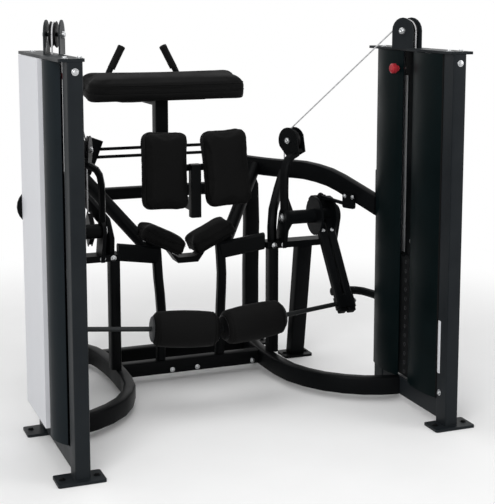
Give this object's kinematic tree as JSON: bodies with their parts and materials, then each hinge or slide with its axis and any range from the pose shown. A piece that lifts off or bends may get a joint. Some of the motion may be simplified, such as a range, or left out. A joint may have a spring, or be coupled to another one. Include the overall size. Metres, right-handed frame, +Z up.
{
  "type": "hip abductor machine",
  "caption": "Hip machine with a weight tower on each side, padded centre stand, forearm pad with grips, and swinging roller arms on cables.",
  "frame": {"origin": "centre of the machine's box, on the floor", "axes": "+Z up, +Y the way the user faces, from the towers' front to the grips; X across, left tower at -X"},
  "size_m": [1.802, 1.885, 1.7325],
  "materials": {
    "black_paint": "satin",
    "dark_cover": "satin",
    "white_panel": "satin",
    "bright_steel": "polished",
    "stack_iron": "matte",
    "black_nylon": "matte",
    "black_vinyl": "satin",
    "grey_cap": "satin",
    "red_knob": "gloss",
    "cable_grey": "satin"
  },
  "bodies": {
    "machine": {"arm_pad": "black_vinyl", "arm_pad_post": "black_paint", "front_cross_beam": "black_paint", "rear_cross_beam": "black_paint", "rear_bar": "black_paint", "upper_cross_rod": "black_paint", "lower_cross_rod": "black_paint", "handlebar": "black_paint", "seat_frame": "black_paint", "torso_post": "black_paint", "right_tower_frame": "black_paint", "right_top_plate": "black_paint", "right_outer_panel": "white_panel", "right_outer_shroud": "dark_cover", "right_inner_shroud_front": "dark_cover", "right_inner_shroud_rear": "dark_cover", "right_guide_rods": "bright_steel", "right_weight_stack": "stack_iron", "right_cable_drop": "cable_grey", "right_cable_run": "cable_grey", "right_upper_tube": "black_paint", "right_floor_tube": "black_paint", "right_pivot_post": "black_paint", "right_stop_bar": "black_paint", "right_range_stop": "black_paint", "right_rear_leg": "black_paint", "right_torso_pad": "black_vinyl", "right_seat_wing": "black_vinyl", "left_tower_frame": "black_paint", "left_top_plate": "black_paint", "left_outer_panel": "white_panel", "left_outer_shroud": "dark_cover", "left_inner_shroud_front": "dark_cover", "left_inner_shroud_rear": "dark_cover", "left_guide_rods": "bright_steel", "left_weight_stack": "stack_iron", "left_cable_drop": "cable_grey", "left_cable_run": "cable_grey", "left_upper_tube": "black_paint", "left_floor_tube": "black_paint", "left_pivot_post": "black_paint", "left_stop_bar": "black_paint", "left_range_stop": "black_paint", "left_rear_leg": "black_paint", "left_torso_pad": "black_vinyl", "left_seat_wing": "black_vinyl"},
    "right_arm": {"right_swing_arm": "black_paint"},
    "right_roller": {"right_roller_core": "grey_cap", "right_roller_pad": "black_vinyl"},
    "right_stack": {"right_lifted_plates": "stack_iron"},
    "right_top_wheel": {"right_top_pulley": "black_nylon"},
    "right_guide_wheel": {"right_guide_pulley": "black_nylon"},
    "right_pin": {"right_selector_pin": "red_knob"},
    "left_arm": {"left_swing_arm": "black_paint"},
    "left_roller": {"left_roller_core": "grey_cap", "left_roller_pad": "black_vinyl"},
    "left_stack": {"left_lifted_plates": "stack_iron"},
    "left_top_wheel": {"left_top_pulley": "black_nylon"},
    "left_guide_wheel": {"left_guide_pulley": "black_nylon"},
    "left_pin": {"left_selector_pin": "red_knob"}
  },
  "joints": [
    {"name": "right_arm_swing", "type": "hinge", "parent": "machine", "child": "right_arm", "pos_m": [0.585, 0.0815, 0.767], "axis": [-1, 0, 0], "range_deg": [0, 45]},
    {"name": "right_roller_spin", "type": "hinge", "parent": "right_arm", "child": "right_roller", "pos_m": [0.018, -0.24705, 0.34821], "axis": [0.9921, 0.1043, 0.0698], "continuous": true},
    {"name": "right_stack_lift", "type": "slide", "parent": "machine", "child": "right_stack", "axis": [0, 0, 1], "range_m": [0, 0.0786], "deforming": ["right_cable_drop"]},
    {"name": "right_top_wheel_turn", "type": "hinge", "parent": "machine", "child": "right_top_wheel", "pos_m": [0.78143, -0.49978, 1.675], "axis": [-0.9204, -0.391, 0], "range_deg": [0, 94.8]},
    {"name": "right_guide_wheel_turn", "type": "hinge", "parent": "machine", "child": "right_guide_wheel", "pos_m": [0.51057, 0.13778, 1.135], "axis": [-0.9204, -0.391, 0], "range_deg": [0, 94.8]},
    {"name": "right_pin_pull", "type": "slide", "parent": "machine", "child": "right_pin", "axis": [-1, 0, 0], "range_m": [0, 0.06]},
    {"name": "left_arm_swing", "type": "hinge", "parent": "machine", "child": "left_arm", "pos_m": [-0.585, 0.0815, 0.767], "axis": [-1, 0, 0], "range_deg": [0, 45]},
    {"name": "left_roller_spin", "type": "hinge", "parent": "left_arm", "child": "left_roller", "pos_m": [-0.018, -0.24705, 0.34821], "axis": [0.9921, -0.1043, -0.0698], "continuous": true},
    {"name": "left_stack_lift", "type": "slide", "parent": "machine", "child": "left_stack", "axis": [0, 0, 1], "range_m": [0, 0.0786], "deforming": ["left_cable_drop"]},
    {"name": "left_top_wheel_turn", "type": "hinge", "parent": "machine", "child": "left_top_wheel", "pos_m": [-0.78143, -0.49978, 1.675], "axis": [-0.9204, 0.391, 0], "range_deg": [0, 94.8]},
    {"name": "left_guide_wheel_turn", "type": "hinge", "parent": "machine", "child": "left_guide_wheel", "pos_m": [-0.51057, 0.13778, 1.135], "axis": [-0.9204, 0.391, 0], "range_deg": [0, 94.8]},
    {"name": "left_pin_pull", "type": "slide", "parent": "machine", "child": "left_pin", "axis": [1, 0, 0], "range_m": [0, 0.06]}
  ],
  "couplings": [
    {"joint": "right_stack_lift", "follows": "right_arm_swing", "m_per_rad": 0.1},
    {"joint": "right_top_wheel_turn", "follows": "right_arm_swing", "ratio": 2.1053},
    {"joint": "right_guide_wheel_turn", "follows": "right_arm_swing", "ratio": 2.1053},
    {"joint": "left_stack_lift", "follows": "left_arm_swing", "m_per_rad": 0.1},
    {"joint": "left_top_wheel_turn", "follows": "left_arm_swing", "ratio": 2.1053},
    {"joint": "left_guide_wheel_turn", "follows": "left_arm_swing", "ratio": 2.1053}
  ]
}
